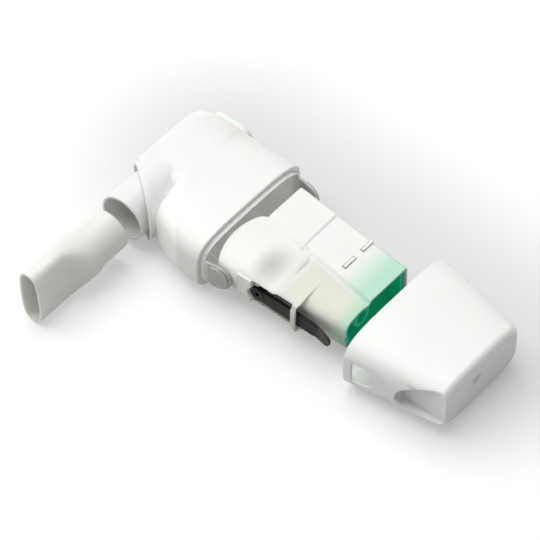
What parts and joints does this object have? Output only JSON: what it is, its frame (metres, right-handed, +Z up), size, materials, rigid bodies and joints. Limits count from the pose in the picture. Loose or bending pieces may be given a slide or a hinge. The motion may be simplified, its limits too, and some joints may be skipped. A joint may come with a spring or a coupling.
{
  "type": "oscillating positive expiratory pressure device",
  "caption": "Hand-held breathing exerciser taken apart: mouthpiece, front casing with air ports, frosted cartridge with a rotor and a resistance lever, and rear casing.",
  "frame": {"origin": "on the flat underside of the front casing, 8 mm behind its rim and on the casings' middle plane", "axes": "+X from the front casing towards the rear casing, -Y towards the mouthpiece and the lever, +Z up"},
  "size_m": [0.205, 0.1383, 0.034],
  "materials": {
    "front_casing": "satin",
    "rear_casing": "satin",
    "mouthpiece": "satin",
    "inhalation_valve_flap": "matte",
    "cartridge_upper_shell": "frosted",
    "cartridge_lower_shell": "frosted",
    "variable_nozzle": "satin",
    "shaft_bush": "satin",
    "control_lever": "satin",
    "adjustment_frame": "satin",
    "rotor_shaft": "satin",
    "restrictor": "satin",
    "vane": "satin"
  },
  "bodies": {
    "front": {"front_casing": "front_casing"},
    "valve": {"inhalation_valve_flap": "inhalation_valve_flap"},
    "mouth": {"mouthpiece": "mouthpiece"},
    "cartridge": {"cartridge_upper_shell": "cartridge_upper_shell", "cartridge_lower_shell": "cartridge_lower_shell", "variable_nozzle": "variable_nozzle", "shaft_bush": "shaft_bush"},
    "lever": {"control_lever": "control_lever", "adjustment_frame": "adjustment_frame"},
    "rotor": {"rotor_shaft": "rotor_shaft", "restrictor": "restrictor", "vane": "vane"},
    "rear": {"rear_casing": "rear_casing"}
  },
  "joints": [
    {"name": "mouthpiece_push", "type": "slide", "parent": "front", "child": "mouth", "axis": [0, 1, 0], "range_m": [0, 0.0223]},
    {"name": "valve_swing", "type": "hinge", "parent": "front", "child": "valve", "pos_m": [-0.034, 0.0333, 0.0275], "axis": [-1, 0, 0], "range_deg": [0, 35], "stiffness_Nm_per_rad": 0.0001},
    {"name": "cartridge_slide", "type": "slide", "parent": "front", "child": "cartridge", "axis": [-1, 0, 0], "range_m": [0, 0.0295]},
    {"name": "rear_slide", "type": "slide", "parent": "cartridge", "child": "rear", "axis": [-1, 0, 0], "range_m": [0, 0.0584]},
    {"name": "lever_turn", "type": "hinge", "parent": "cartridge", "child": "lever", "pos_m": [0.0383, 0, 0.017], "axis": [0, 1, 0], "range_deg": [-8, 5]},
    {"name": "rotor_spin", "type": "hinge", "parent": "cartridge", "child": "rotor", "pos_m": [0.0383, 0, 0.017], "axis": [0, 1, 0], "continuous": true}
  ]
}
